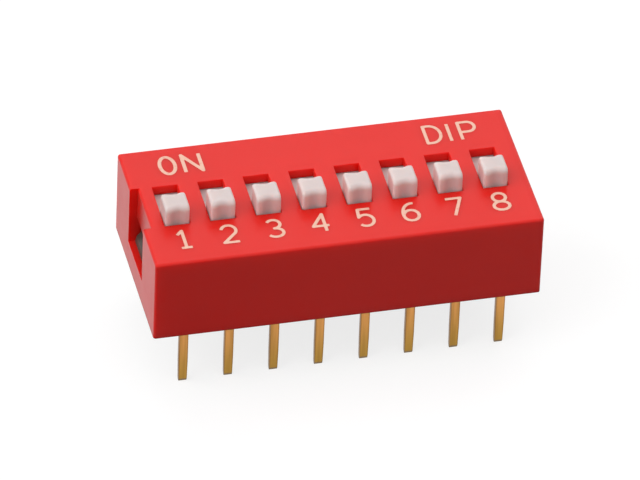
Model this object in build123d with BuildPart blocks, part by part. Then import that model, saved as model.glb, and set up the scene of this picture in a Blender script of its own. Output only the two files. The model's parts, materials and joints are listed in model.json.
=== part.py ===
from build123d import *
import os
from math import cos, radians, tan

# An eight-position slide switch in a dual in-line package, in millimetres.
# X runs along the row, from position 1 to position 8. Y runs from off, the
# numbered side, to on. Z is up, and Z = 0 is the cover's lower rim, which
# seats on the board.

# Package
positions = 8
pitch = 2.54
end_margin = 1.935
body_width = 9.9
body_height = 5.12

# Cover
top_wall = 0.55
side_wall = 0.7
end_wall = 0.7
cover_edge = 0.15
slot_width = 1.42
slot_length = 3.4
slot_edge = 0.04
notch_width = 3.5
notch_depth = 0.46
notch_sill = 1.5
notch_edge = 0.15
window_height = 1.6

# Slider. carrier_rise is the carrier's height above the contact pads
knob_height = 1.08
knob_depth = 1.42
knob_front_round = 0.3
knob_back_round = 0.17
knob_side_round = 0.14
scoop_depth = 0.1
scoop_land = 0.3
scoop_round = 0.35
flange_width = 1.76
flange_thickness = 0.5
flange_end_gap = 0.16
carrier_width = 1.4
carrier_length = 3.0
carrier_rise = 0.55
peg_radius = 0.2
peg_head_radius = 0.35
peg_head_height = 0.12

# Wiper
wiper_width = 1.1
wiper_thickness = 0.12
contact_span = 2.7
contact_radius = 0.25
arm_angle = 40
toe_run = 0.27

# Terminals. pin_cover is the base's plastic outside each pin, which sets the two rows 7.62 apart
strip_thickness = 0.28
pad_width = 1.2
pin_width = 0.5
pin_length = 4.1
pin_cover = 0.26
bend_radius = 0.15
shoulder_rise = 0.4
tip_taper_height = 0.18
tip_taper_depth = 0.08
tip_width = 0.45
tip_run = 1.4
front_pad_tip = -0.15
rear_pad_tip = 0.95

# Base and seal. latch_proud is how far the latch's foot stands out of the notch's floor
base_floor_thickness = 1.7
latch_face = 0.35
latch_lean = 0.1
latch_slope = 0.3
latch_proud = 0.1
channel_end_wall = 0.3
seal_recess = 0.1
seal_thickness = 0.5

# Clearances
knob_side_gap = 0.03
knob_end_gap = 0.05
slide_gap = 0.04
base_gap = 0.04
latch_gap = 0.05
latch_side_gap = 0.1
peg_gap = 0.02
contact_gap = 0.02

# Sizes that follow from the ones above
cover_length = (positions - 1) * pitch + 2 * end_margin
ceiling = body_height - top_wall
cavity_length = cover_length - 2 * end_wall
cavity_width = body_width - 2 * side_wall
travel = slot_length - knob_depth - 2 * knob_end_gap
rest_y = -travel / 2

base_length = cavity_length - 2 * base_gap
base_width = cavity_width - 2 * base_gap
row_spacing = base_width - 2 * pin_cover - strip_thickness
base_bottom = seal_recess + seal_thickness
channel_floor = base_bottom + base_floor_thickness
base_top = ceiling - base_gap
channel_width = flange_width + 2 * slide_gap
channel_length = base_width - 2 * channel_end_wall

flange_top = ceiling - slide_gap
flange_bottom = flange_top - flange_thickness
flange_length = channel_length - travel - 2 * flange_end_gap
knob_top = body_height + knob_height
carrier_bottom = channel_floor + carrier_rise

shoulder_height = base_bottom + shoulder_rise
latch_foot = notch_sill + latch_gap
latch_reach = end_wall - notch_depth + base_gap + latch_proud
latch_width = notch_width - 2 * latch_side_gap

CENTRED_UP = (Align.CENTER, Align.CENTER, Align.MIN)
CENTRED_DOWN = (Align.CENTER, Align.CENTER, Align.MAX)
os.makedirs("parts", exist_ok=True)


def write_piece(shape, name, x=0.0, y=0.0):
    """Place a finished piece and write it under its own name."""
    with BuildPart() as piece:
        with Locations((x, y, 0)):
            add(shape)
    piece.part.label = name
    export_step(piece.part, f"parts/{name}.step")
    return piece.part


# Terminal: a stamped strip with a flat contact pad, bent down into a pin
def make_terminal(side, pad_tip):
    """side is -1 for the numbered row and 1 for the other; pad_tip is the pad's inner end in Y."""
    outer = side * (row_spacing + strip_thickness) / 2
    inner = side * (row_spacing - strip_thickness) / 2
    taper = side * tip_taper_depth
    pad_underside = channel_floor - strip_thickness
    with BuildPart() as terminal:
        with BuildSketch(Plane.YZ) as profile:
            with BuildLine():
                Polyline(
                    (pad_tip, channel_floor),
                    (outer, channel_floor),
                    (outer, tip_taper_height - pin_length),
                    (outer - taper, -pin_length),
                    (inner + taper, -pin_length),
                    (inner, tip_taper_height - pin_length),
                    (inner, pad_underside),
                    (pad_tip, pad_underside),
                    close=True,
                )
            make_face()
            heel = profile.vertices().sort_by_distance((outer, channel_floor))[0]
            fillet(heel, bend_radius + strip_thickness)
            throat = profile.vertices().sort_by_distance((inner, pad_underside))[0]
            fillet(throat, bend_radius)
        extrude(amount=pad_width / 2, both=True)
        # Below the shoulder the strip narrows to the pin, and the pin narrows a little to its tip
        with BuildSketch(Plane.XZ.offset(-side * row_spacing / 2)):
            with BuildLine():
                Polyline(
                    (pin_width / 2, shoulder_height),
                    (pad_width, shoulder_height),
                    (pad_width, -2 * pin_length),
                    (tip_width / 2, -2 * pin_length),
                    (tip_width / 2, -pin_length),
                    (pin_width / 2, tip_run - pin_length),
                    close=True,
                )
            make_face()
            mirror(about=Plane.YZ)
        extrude(amount=strip_thickness, both=True, mode=Mode.SUBTRACT)
    return terminal.part


front_terminal = make_terminal(-1, front_pad_tip)
rear_terminal = make_terminal(1, rear_pad_tip)

# All sixteen terminals in place, used to shape the base and the seal around them
with BuildPart() as terminal_rows:
    with GridLocations(pitch, 0, positions, 1):
        add(front_terminal)
        add(rear_terminal)


# Cover: the red shell, open below
with BuildPart() as cover:
    Box(cover_length, body_width, body_height, align=CENTRED_UP)
    rim = cover.faces().sort_by(Axis.Z)[-1].edges() + cover.edges().filter_by(Axis.Z)
    fillet(rim, cover_edge)
    Box(cavity_length, cavity_width, ceiling, align=CENTRED_UP, mode=Mode.SUBTRACT)
    with BuildSketch(Plane.XY.offset(ceiling)):
        with GridLocations(pitch, 0, positions, 1):
            Rectangle(slot_width, slot_length)
    extrude(amount=top_wall, mode=Mode.SUBTRACT)
    fillet(cover.faces().sort_by(Axis.Z)[-1].inner_wires().edges(), slot_edge)
    # The end by position 1 is marked by a notch that runs up through the top
    with BuildSketch(Plane.XY.offset(notch_sill)):
        with Locations((-(cover_length - notch_depth) / 2, 0)):
            Rectangle(notch_depth, notch_width)
    extrude(amount=body_height - notch_sill, mode=Mode.SUBTRACT)
    notch_floor_edges = cover.edges().filter_by(Axis.Y).group_by(Axis.Z)[-1]
    fillet(notch_floor_edges.sort_by_distance((notch_depth - cover_length / 2, 0, body_height))[0], notch_edge)
    # A window in each end wall takes a latch of the base
    with BuildSketch(Plane.XY.offset(notch_sill)):
        with GridLocations(cover_length - end_wall, 0, 2, 1):
            Rectangle(end_wall, notch_width)
    extrude(amount=window_height, mode=Mode.SUBTRACT)


# Base: the moulding that carries the terminals and guides the sliders
with BuildPart() as base:
    with Locations((0, 0, base_bottom)):
        Box(base_length, base_width, base_top - base_bottom, align=CENTRED_UP)
    with BuildSketch(Plane.XY.offset(channel_floor)):
        with GridLocations(pitch, 0, positions, 1):
            Rectangle(channel_width, channel_length)
    extrude(amount=base_top - channel_floor, mode=Mode.SUBTRACT)
    # Snap latches: a lead-in slope, a face that leans back, and a flat foot that hooks over the window's sill
    with BuildSketch(Plane.XZ):
        with BuildLine():
            Polyline(
                (base_length / 2, latch_foot),
                (base_length / 2 + latch_reach, latch_foot),
                (base_length / 2 + latch_reach - latch_lean, latch_foot + latch_face),
                (base_length / 2, latch_foot + latch_face + latch_slope),
                close=True,
            )
        make_face()
        mirror(about=Plane.YZ)
    extrude(amount=latch_width / 2, both=True)
    add(terminal_rows.part, mode=Mode.SUBTRACT)


# Seal: epoxy potted round the pins, a little inside the rim
with BuildPart() as seal:
    with Locations((0, 0, seal_recess)):
        Box(cavity_length, cavity_width, seal_thickness, align=CENTRED_UP)
    add(terminal_rows.part, mode=Mode.SUBTRACT)


# Slider: knob, flange that closes the slot from below, and carrier for the wiper
with BuildPart() as slider:
    knob_width = slot_width - 2 * knob_side_gap
    half_width = knob_width / 2
    half_depth = knob_depth / 2
    scoop_edge = half_width - scoop_land
    with BuildSketch(Plane.XY.offset(flange_top)) as knob_plan:
        with BuildLine():
            ThreePointArc(
                (-scoop_edge, half_depth),
                (0, half_depth - scoop_depth),
                (scoop_edge, half_depth),
            )
            Polyline(
                (scoop_edge, half_depth),
                (half_width, half_depth),
                (half_width, -half_depth),
                (scoop_edge, -half_depth),
            )
            ThreePointArc(
                (scoop_edge, -half_depth),
                (0, scoop_depth - half_depth),
                (-scoop_edge, -half_depth),
            )
            Polyline(
                (-scoop_edge, -half_depth),
                (-half_width, -half_depth),
                (-half_width, half_depth),
                (-scoop_edge, half_depth),
            )
        make_face()
        columns = knob_plan.vertices().group_by(Axis.X)
        fillet(columns[1] + columns[-2], scoop_round)
    extrude(amount=knob_top - flange_top)
    # The edge towards the numbers is the rounder one
    top_edges = slider.faces().sort_by(Axis.Z)[-1].edges() - slider.edges().filter_by(Axis.Y)
    fillet(top_edges.filter_by(lambda edge: edge.center().Y < 0), knob_front_round)
    top_edges = slider.faces().filter_by(Axis.Z).sort_by(Axis.Z)[-1].edges() - slider.edges().filter_by(Axis.Y)
    fillet(top_edges.filter_by(lambda edge: edge.center().Y > 0), knob_back_round)
    sides = slider.faces().filter_by(Axis.X)
    fillet(sides.edges() - slider.faces().sort_by(Axis.Z)[0].edges(), knob_side_round)
    with Locations((0, 0, flange_top)):
        Box(flange_width, flange_length, flange_thickness, align=CENTRED_DOWN)
    with Locations((0, 0, carrier_bottom)):
        Box(carrier_width, carrier_length, flange_bottom - carrier_bottom, align=CENTRED_UP)
        Cylinder(peg_radius, wiper_thickness, align=CENTRED_DOWN)
    with Locations((0, 0, carrier_bottom - wiper_thickness)):
        Cylinder(peg_head_radius, peg_head_height, align=CENTRED_DOWN)


# Wiper: a leaf spring, flat where it is staked and bent down to a contact at each end
with BuildPart() as wiper:
    flat_z = carrier_bottom - wiper_thickness / 2
    rounding = contact_radius * (1 / cos(radians(arm_angle)) - 1)
    knee_z = channel_floor + contact_gap + wiper_thickness / 2 - rounding
    knee_y = contact_span / 2
    flat_end = knee_y - (flat_z - knee_z) / tan(radians(arm_angle))
    toe_y = knee_y + toe_run
    toe_z = knee_z + toe_run * tan(radians(arm_angle))
    with BuildSketch(Plane.YZ):
        with BuildLine():
            FilletPolyline(
                (-toe_y, toe_z),
                (-knee_y, knee_z),
                (-flat_end, flat_z),
                (flat_end, flat_z),
                (knee_y, knee_z),
                (toe_y, toe_z),
                radius=contact_radius,
            )
        trace(line_width=wiper_thickness)
    extrude(amount=wiper_width / 2, both=True)
    with Locations((0, 0, carrier_bottom)):
        Cylinder(peg_radius + peg_gap, wiper_thickness, align=CENTRED_DOWN, mode=Mode.SUBTRACT)


write_piece(cover.part, "cover")
write_piece(base.part, "base")
write_piece(seal.part, "seal")
for number in range(1, positions + 1):
    x = (number - (positions + 1) / 2) * pitch
    write_piece(slider.part, f"slider_{number}", x, rest_y)
    write_piece(wiper.part, f"wiper_{number}", x, rest_y)
    write_piece(front_terminal, f"front_terminal_{number}", x)
    write_piece(rear_terminal, f"rear_terminal_{number}", x)
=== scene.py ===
"""Looks of an eight-position slide switch in a dual in-line package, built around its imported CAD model."""
import json
from math import atan2, cos, pi, radians, sin

import bmesh
import bpy
from mathutils import Matrix, Vector


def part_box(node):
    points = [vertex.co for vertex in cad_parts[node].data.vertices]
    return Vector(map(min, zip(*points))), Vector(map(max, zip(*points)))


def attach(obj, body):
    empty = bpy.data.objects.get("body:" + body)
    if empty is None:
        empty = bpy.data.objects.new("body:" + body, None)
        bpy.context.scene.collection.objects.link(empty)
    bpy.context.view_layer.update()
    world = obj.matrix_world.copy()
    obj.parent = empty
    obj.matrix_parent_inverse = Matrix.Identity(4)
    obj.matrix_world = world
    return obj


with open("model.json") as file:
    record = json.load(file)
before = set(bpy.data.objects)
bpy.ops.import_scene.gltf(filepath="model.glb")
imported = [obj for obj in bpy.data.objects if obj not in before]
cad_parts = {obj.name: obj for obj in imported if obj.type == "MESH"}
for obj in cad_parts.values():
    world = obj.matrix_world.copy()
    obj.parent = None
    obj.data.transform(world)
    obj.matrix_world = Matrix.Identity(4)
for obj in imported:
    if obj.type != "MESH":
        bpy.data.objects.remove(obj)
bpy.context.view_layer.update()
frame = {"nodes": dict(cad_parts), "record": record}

MM = 0.001
POSITIONS = 8

# Places that the model gives, in metres
COVER_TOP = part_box("cover")[1].z
PIN_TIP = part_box("front_terminal_1")[0].z
KNOB_X = [sum(corner.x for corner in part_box(f"slider_{n}")) / 2 for n in range(1, POSITIONS + 1)]
PITCH = KNOB_X[1] - KNOB_X[0]

# Pins, in metres: where their tone stops changing upwards, how far above the tip the cut's wear fades out,
# and how far from a pin's middle its sheared sides begin
PIN_ROOT = PIN_TIP * 0.1
TIP_WEAR = (0.10 * MM, 0.24 * MM)
SHEARED_SIDE = (0.17 * MM, 0.25 * MM)

# Legend, in millimetres: places along Y, the numbers' own pitch, stroke widths and half heights
NUMBER_Y = -3.0
NUMBER_PITCH = 2.52
NUMBER_STROKE = 0.18
NUMBER_HALF = 0.72
WORD_Y = 3.39
ON_STROKE = 0.20
DIP_STROKE = 0.18
LETTER_HALF = 0.74

# Ink: its height over the plastic and the grain of its skin, in millimetres, how its skin settles, the sides
# of a stroke's round joint, and how near a closed stroke's ends come, as a share of its width
INK_HEIGHT = 0.012
INK_GRAIN = 0.022
SETTLE_FACTOR = 0.5
SETTLE_ROUNDS = 3
JOINT_SIDES = 24
ENDS_MEET = 0.1

# Stage: the floor's shade to light and to the eye, the lift that the eye sees, its size in metres, and the
# room's light
FLOOR_SHADE = 0.08
FLOOR_SEEN_SHADE = 0.27
FLOOR_LIFT = 0.77
FLOOR_SIZE = 4.0
AMBIENT = 0.33

# Three soft lamps: azimuth, elevation and angle across in degrees, and the light that each gives a surface
# that faces it
LAMPS = {
    "overhead_panel": (0, 78, 90, 0.33),
    "back_panel": (166, 45, 60, 0.22),
    "left_panel": (-80, 35, 60, 0.45),
}

# Camera: angles in degrees, places in metres and lens in millimetres. It sees from CAMERA_CLIP times nearer
# than the object to as many times farther
CAMERA_AZIMUTH = -14.598
CAMERA_ELEVATION = 39.078
CAMERA_ROLL = 2.477
CAMERA_DISTANCE = 498.52 * MM
CAMERA_AIM = Vector((-0.262, 0.732, 0.792)) * MM
CAMERA_LENS = 510.91
CAMERA_CLIP = 100


# Materials

# The Mix node has sockets for each kind of data: these are its two colours and the colour that comes out
MIX_FIRST = 6
MIX_SECOND = 7
MIX_RESULT = 2


class Value:
    """A socket that stands in a sum: each operator adds one Math node."""

    def __init__(self, finish, socket):
        self.finish = finish
        self.socket = socket

    def math(self, operation, *terms):
        return self.finish.node("Math", {"operation": operation}, dict(enumerate(terms)))

    def __add__(self, other):
        return self.math("ADD", self, other)

    __radd__ = __add__

    def __mul__(self, other):
        return self.math("MULTIPLY", self, other)

    __rmul__ = __mul__

    def __sub__(self, other):
        return self.math("SUBTRACT", self, other)

    def __rsub__(self, other):
        return self.math("SUBTRACT", other, self)

    def __mod__(self, other):
        return self.math("MODULO", self, other)

    def __abs__(self):
        return self.math("ABSOLUTE", self)

    def or_more(self, other):
        """The larger of two values."""
        return self.math("MAXIMUM", self, other)


class Finish:
    """The nodes of one material, or of the world."""

    def __init__(self, owner):
        self.owner = owner
        owner.use_nodes = True
        self.tree = owner.node_tree
        self.tree.nodes.clear()

    def node(self, kind, settings=None, sockets=None, output=0):
        """Add a node: its settings first, then the values or links of its sockets."""
        made = self.tree.nodes.new("ShaderNode" + kind)
        for name, setting in (settings or {}).items():
            setattr(made, name, setting)
        for name, value in (sockets or {}).items():
            if isinstance(value, Value):
                self.tree.links.new(value.socket, made.inputs[name])
            else:
                made.inputs[name].default_value = value
        return Value(self, made.outputs[output]) if made.outputs else made

    def place(self):
        """Object coordinates, in metres."""
        return self.node("TexCoord", output="Object")

    def axis(self, name):
        return self.node("SeparateXYZ", sockets={"Vector": self.place()}, output=name)

    def noise(self, size, detail=3.0, stretch=(1, 1, 1)):
        """Smooth noise from 0 to 1, with features about size millimetres across."""
        where = self.node("Mapping", {"vector_type": "POINT"}, {"Vector": self.place(), "Scale": stretch})
        return self.node("TexNoise", sockets={"Vector": where, "Scale": 1 / (size * MM), "Detail": detail})

    def band(self, value, low, high):
        """0 at low and 1 at high, smooth between."""
        settings = {"interpolation_type": "SMOOTHSTEP"}
        return self.node("MapRange", settings, {"Value": value, "From Min": low, "From Max": high})

    def blend(self, factor, first, second):
        """A colour between two others."""
        sockets = {"Factor": factor, MIX_FIRST: first, MIX_SECOND: second}
        return self.node("Mix", {"data_type": "RGBA"}, sockets, output=MIX_RESULT)

    def bump(self, height, depth):
        """A normal from a height of 0 to 1 that stands for depth millimetres."""
        return self.node("Bump", sockets={"Height": height, "Distance": depth * MM, "Strength": 1.0})

    def surface(self, **sockets):
        """Finish the material with one shader."""
        names = {name.replace("_", " "): value for name, value in sockets.items()}
        shader = self.node("BsdfPrincipled", sockets=names)
        self.node("OutputMaterial", sockets={"Surface": shader})
        return self.owner


def start_finish(name):
    return Finish(bpy.data.materials.new(name))


def colour(red, green, blue):
    return (red, green, blue, 1.0)


def grey(shade):
    return colour(shade, shade, shade)


def cover_plastic():
    """Red moulded plastic, satin and a little translucent: red light glows through its edges and corners."""
    finish = start_finish("cover_plastic")
    cloud = finish.noise(4.0, detail=2.0)
    grain = finish.noise(0.09, detail=2.0)
    flow = finish.noise(1.2, detail=4.0, stretch=(0.35, 1, 1))
    return finish.surface(
        Base_Color=finish.blend(cloud, colour(0.79, 0.018, 0.012), colour(0.73, 0.014, 0.009)),
        Roughness=0.26 + flow * 0.08,
        Specular_IOR_Level=0.17,
        Subsurface_Weight=1.0,
        Subsurface_Radius=(1.0, 0.15, 0.12),
        Subsurface_Scale=0.6 * MM,
        Normal=finish.bump(grain, 0.0016),
    )


def base_plastic():
    """Dark moulded plastic with a satin skin."""
    finish = start_finish("base_plastic")
    cloud = finish.noise(1.5)
    grain = finish.noise(0.08, detail=2.0)
    return finish.surface(
        Base_Color=finish.blend(cloud, colour(0.062, 0.052, 0.040), colour(0.046, 0.038, 0.030)),
        Roughness=0.32 + grain * 0.12,
        Normal=finish.bump(grain, 0.0016),
    )


def seal_epoxy():
    """Poured epoxy: glossy, and never quite level."""
    finish = start_finish("seal_epoxy")
    cloud = finish.noise(2.5)
    swell = finish.noise(1.8, detail=1.0)
    return finish.surface(
        Base_Color=finish.blend(cloud, colour(0.030, 0.020, 0.014), colour(0.055, 0.034, 0.020)),
        Roughness=0.16 + cloud * 0.14,
        Normal=finish.bump(swell, 0.06),
    )


def knob_plastic():
    """White moulded plastic, translucent enough to soften its own edges."""
    finish = start_finish("knob_plastic")
    cloud = finish.noise(0.9)
    grain = finish.noise(0.07, detail=2.0)
    return finish.surface(
        Base_Color=finish.blend(cloud, colour(0.69, 0.60, 0.585), colour(0.64, 0.55, 0.535)),
        Roughness=0.38 + grain * 0.14,
        Specular_IOR_Level=0.35,
        Subsurface_Weight=1.0,
        Subsurface_Radius=(1.0, 0.8, 0.7),
        Subsurface_Scale=0.7 * MM,
        Normal=finish.bump(grain, 0.0018),
    )


def gold_plate():
    """Gold flash over a drawn strip: lines run along the pin, and its sheared sides and cut tip are darker."""
    finish = start_finish("gold_plate")
    lines = finish.noise(0.05, detail=3.0, stretch=(1, 1, 0.06))
    streaks = finish.band(finish.noise(0.22, detail=2.0, stretch=(1, 1, 0.05)), 0.35, 0.65)
    low = 1 - finish.band(finish.axis("Z"), PIN_TIP, PIN_ROOT)
    tip = 1 - finish.band(finish.axis("Z"), PIN_TIP + TIP_WEAR[0], PIN_TIP + TIP_WEAR[1])
    from_pin = abs((finish.axis("X") * (1 / PITCH) + POSITIONS) % 1.0 - 0.5) * PITCH
    side = finish.band(from_pin, *SHEARED_SIDE)
    bright = finish.blend(low, colour(0.68, 0.31, 0.095), colour(0.43, 0.245, 0.048))
    plate = finish.blend(streaks * 0.5, bright, colour(0.32, 0.165, 0.038))
    sheared = finish.blend(side * 0.7, plate, colour(0.17, 0.08, 0.020))
    return finish.surface(
        Base_Color=finish.blend(tip * 0.75, sheared, colour(0.13, 0.085, 0.04)),
        Metallic=1.0,
        Roughness=0.26 + lines * 0.18,
        Normal=finish.bump(lines, 0.002),
    )


def legend_ink():
    """Pale printing ink, matt, and thin in places where the red shows through."""
    finish = start_finish("legend_ink")
    patch = finish.noise(0.22, detail=3.0)
    thin = finish.band(patch, 0.52, 0.74)
    return finish.surface(
        Base_Color=finish.blend(thin * 0.5, colour(0.87, 0.53, 0.41), colour(0.82, 0.25, 0.175)),
        Roughness=0.55,
        Specular_IOR_Level=0.2,
        Normal=finish.bump(patch, 0.003),
    )


def dress_nodes():
    """Give every node of the model the material of its slot."""
    finishes = {
        "cover": cover_plastic(),
        "base": base_plastic(),
        "seal": seal_epoxy(),
        "slider": knob_plastic(),
        "contact": gold_plate(),
    }
    for entry in frame["record"]["subparts"]:
        node = frame["nodes"][entry["node"]]
        node.data.materials.clear()
        node.data.materials.append(finishes[entry["material_slot"]])


# Legend: numbers, ON and DIP, printed as strokes of one width

def arc(middle, radii, start, end, steps=14):
    """Points along part of an ellipse, from one angle to another in degrees."""
    turn = [radians(start + (end - start) * k / steps) for k in range(steps + 1)]
    return [(middle[0] + radii[0] * cos(a), middle[1] + radii[1] * sin(a)) for a in turn]


def number_strokes():
    """Strokes of the numbers, in millimetres about each one's centre."""
    h = NUMBER_HALF
    return {
        "1": [[(-0.30, 0.40), (0.0, h), (0.0, -h)], [(-0.28, -h), (0.32, -h)]],
        "2": [arc((0, 0.28), (0.40, 0.44), 165, -32) + [(-0.42, -h), (0.42, -h)]],
        "3": [arc((-0.02, 0.36), (0.37, 0.36), 150, -90) + arc((-0.02, -0.36), (0.43, 0.36), 90, -150)],
        "4": [[(0.22, -h), (0.22, h), (-0.44, -0.26), (0.46, -0.26)]],
        "5": [[(0.38, h), (-0.30, h), (-0.36, 0.06)] + arc((-0.02, -0.24), (0.44, 0.48), 132, -140)],
        "6": [arc((0.20, -0.14), (0.62, 0.88), 82, 178) + arc((0, -0.27), (0.42, 0.45), 180, 540)],
        "7": [[(-0.42, h), (0.42, h), (-0.16, -h)]],
        "8": [arc((0, 0.36), (0.36, 0.36), -90, 270), arc((0, -0.36), (0.44, 0.36), -270, 90)],
    }


def letter_strokes():
    """Strokes of the letters, in millimetres about each one's centre."""
    h = LETTER_HALF
    return {
        "O": [arc((0, 0), (0.42, 0.735), 90, 450, steps=28)],
        "N": [[(-0.48, -h), (-0.48, h), (0.48, -h), (0.48, h)]],
        "D": [[(-0.42, -h), (-0.42, h), (-0.14, h)] + arc((-0.14, 0), (0.58, h), 90, -90) + [(-0.42, -h)]],
        "I": [[(0, -h), (0, h)]],
        "P": [[(-0.42, -h), (-0.42, h), (0.06, h)] + arc((0.06, 0.32), (0.40, 0.42), 90, -90)
              + [(-0.42, -0.10)]],
    }


def add_bar(bm, start, end, width):
    """A straight run of a stroke, cut square at both ends."""
    run = Vector(end) - Vector(start)
    middle = (Vector(start) + Vector(end)) / 2
    bar = bmesh.ops.create_cube(bm, size=1)["verts"]
    lay = Matrix.Translation(middle.to_3d()) @ Matrix.Rotation(atan2(run.y, run.x), 4, "Z")
    bmesh.ops.transform(bm, matrix=lay @ Matrix.Diagonal((run.length, width, width, 1)), verts=bar)


def add_joint(bm, place, width):
    """A round joint where two runs of a stroke meet."""
    where = Matrix.Translation(Vector(place).to_3d())
    radius = width / 2
    bmesh.ops.create_cone(
        bm, cap_ends=True, segments=JOINT_SIDES, radius1=radius, radius2=radius, depth=width, matrix=where
    )


def as_one_skin(mesh):
    """Join a mesh's overlapping shapes into one closed skin."""
    temporary = bpy.data.objects.new("joined_ink", mesh)
    bpy.context.scene.collection.objects.link(temporary)
    remesh = temporary.modifiers.new("skin", "REMESH")
    remesh.mode = "VOXEL"
    remesh.voxel_size = INK_GRAIN
    settle = temporary.modifiers.new("settle", "SMOOTH")
    settle.factor = SETTLE_FACTOR
    settle.iterations = SETTLE_ROUNDS
    graph = bpy.context.evaluated_depsgraph_get()
    skin = bpy.data.meshes.new_from_object(temporary.evaluated_get(graph))
    bpy.data.objects.remove(temporary)
    bpy.data.meshes.remove(mesh)
    return skin


def print_glyph(name, strokes, x, y, width, ink):
    """Print one glyph on the cover's top: x and y in metres, stroke width in millimetres."""
    bm = bmesh.new()
    for points in strokes:
        for start, end in zip(points, points[1:]):
            add_bar(bm, start, end, width)
        closed = (Vector(points[0]) - Vector(points[-1])).length < width * ENDS_MEET
        for place in points if closed else points[1:-1]:
            add_joint(bm, place, width)
    mesh = bpy.data.meshes.new(name)
    bm.to_mesh(mesh)
    bm.free()
    skin = as_one_skin(mesh)
    skin.name = name
    flatten = Matrix.Diagonal((MM, MM, MM * INK_HEIGHT / (width / 2), 1))
    skin.transform(Matrix.Translation((x, y, COVER_TOP)) @ flatten)
    skin.materials.clear()
    skin.materials.append(ink)
    for face in skin.polygons:
        face.use_smooth = True
    piece = bpy.data.objects.new(name, skin)
    bpy.context.scene.collection.objects.link(piece)
    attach(piece, "housing")


def print_legend():
    """The numbers stand before their knobs, ON behind knobs 1 and 2, and DIP behind knobs 7 and 8."""
    ink = legend_ink()
    for glyph, strokes in number_strokes().items():
        x = (int(glyph) - (POSITIONS + 1) / 2) * NUMBER_PITCH * MM
        print_glyph(f"legend_{glyph}", strokes, x, NUMBER_Y * MM, NUMBER_STROKE, ink)
    words = {
        "on": ((KNOB_X[0] + KNOB_X[1]) / 2, ON_STROKE, {"O": -0.74, "N": 0.64}),
        "dip": ((KNOB_X[-2] + KNOB_X[-1]) / 2, DIP_STROKE, {"D": -1.06, "I": -0.14, "P": 0.90}),
    }
    letters = letter_strokes()
    for word, (middle, stroke, places) in words.items():
        for letter, aside in places.items():
            x = middle + aside * MM
            print_glyph(f"legend_{word}_{letter}", letters[letter], x, WORD_Y * MM, stroke, ink)


# Stage: a white floor under the pin tips, soft light, and the camera

def seen_directly(finish):
    """1 for rays that show the background itself or its image in gloss or glass, 0 for the rest."""
    camera, glossy, through = (
        finish.node("LightPath", output=f"Is {ray} Ray") for ray in ("Camera", "Glossy", "Transmission")
    )
    return camera.or_more(glossy.or_more(through))


def floor_paint():
    """Grey to the light, white to the eye, and it keeps the shadow."""
    finish = start_finish("floor_paint")
    plain = finish.node("BsdfDiffuse", sockets={"Color": grey(FLOOR_SHADE)})
    pale = finish.node("BsdfDiffuse", sockets={"Color": grey(FLOOR_SEEN_SHADE)})
    lift = finish.node("Emission", sockets={"Color": grey(1), "Strength": FLOOR_LIFT})
    shown = finish.node("AddShader", sockets={0: pale, 1: lift})
    both = finish.node("MixShader", sockets={0: seen_directly(finish), 1: plain, 2: shown})
    finish.node("OutputMaterial", sockets={"Surface": both})
    return finish.owner


def build_floor():
    bm = bmesh.new()
    bmesh.ops.create_grid(bm, x_segments=1, y_segments=1, size=FLOOR_SIZE / 2)
    bmesh.ops.translate(bm, vec=(0, 0, PIN_TIP), verts=bm.verts)
    mesh = bpy.data.meshes.new("floor")
    bm.to_mesh(mesh)
    bm.free()
    mesh.materials.append(floor_paint())
    floor = bpy.data.objects.new("floor", mesh)
    bpy.context.scene.collection.objects.link(floor)


def light_world():
    sky = Finish(bpy.data.worlds.new("studio"))
    strength = AMBIENT + seen_directly(sky) * (1 - AMBIENT)
    shade = sky.node("Background", sockets={"Color": grey(1), "Strength": strength})
    sky.node("OutputWorld", sockets={"Surface": shade})
    bpy.context.scene.world = sky.owner


def towards(azimuth, elevation):
    """The direction from the object to a place round it: azimuth 0 is the numbered side."""
    a, e = radians(azimuth), radians(elevation)
    return Vector((sin(a) * cos(e), -cos(a) * cos(e), sin(e)))


def add_lamps():
    for name, (azimuth, elevation, across, light) in LAMPS.items():
        lamp = bpy.data.lights.new(name, "SUN")
        lamp.energy = light * pi
        lamp.angle = radians(across)
        panel = bpy.data.objects.new(name, lamp)
        panel.rotation_euler = (-towards(azimuth, elevation)).to_track_quat("-Z", "Y").to_euler()
        bpy.context.scene.collection.objects.link(panel)


def add_camera():
    lens = bpy.data.cameras.new("camera")
    lens.lens = CAMERA_LENS
    lens.clip_start = CAMERA_DISTANCE / CAMERA_CLIP
    lens.clip_end = CAMERA_DISTANCE * CAMERA_CLIP
    camera = bpy.data.objects.new("camera", lens)
    back = towards(CAMERA_AZIMUTH, CAMERA_ELEVATION)
    turn = (-back).to_track_quat("-Z", "Y").to_matrix().to_4x4()
    roll = Matrix.Rotation(radians(CAMERA_ROLL), 4, "Z")
    camera.matrix_world = Matrix.Translation(CAMERA_AIM + back * CAMERA_DISTANCE) @ turn @ roll
    bpy.context.scene.collection.objects.link(camera)
    bpy.context.scene.camera = camera


dress_nodes()
print_legend()
build_floor()
light_world()
add_lamps()
add_camera()
bpy.context.scene.view_settings.view_transform = "Standard"
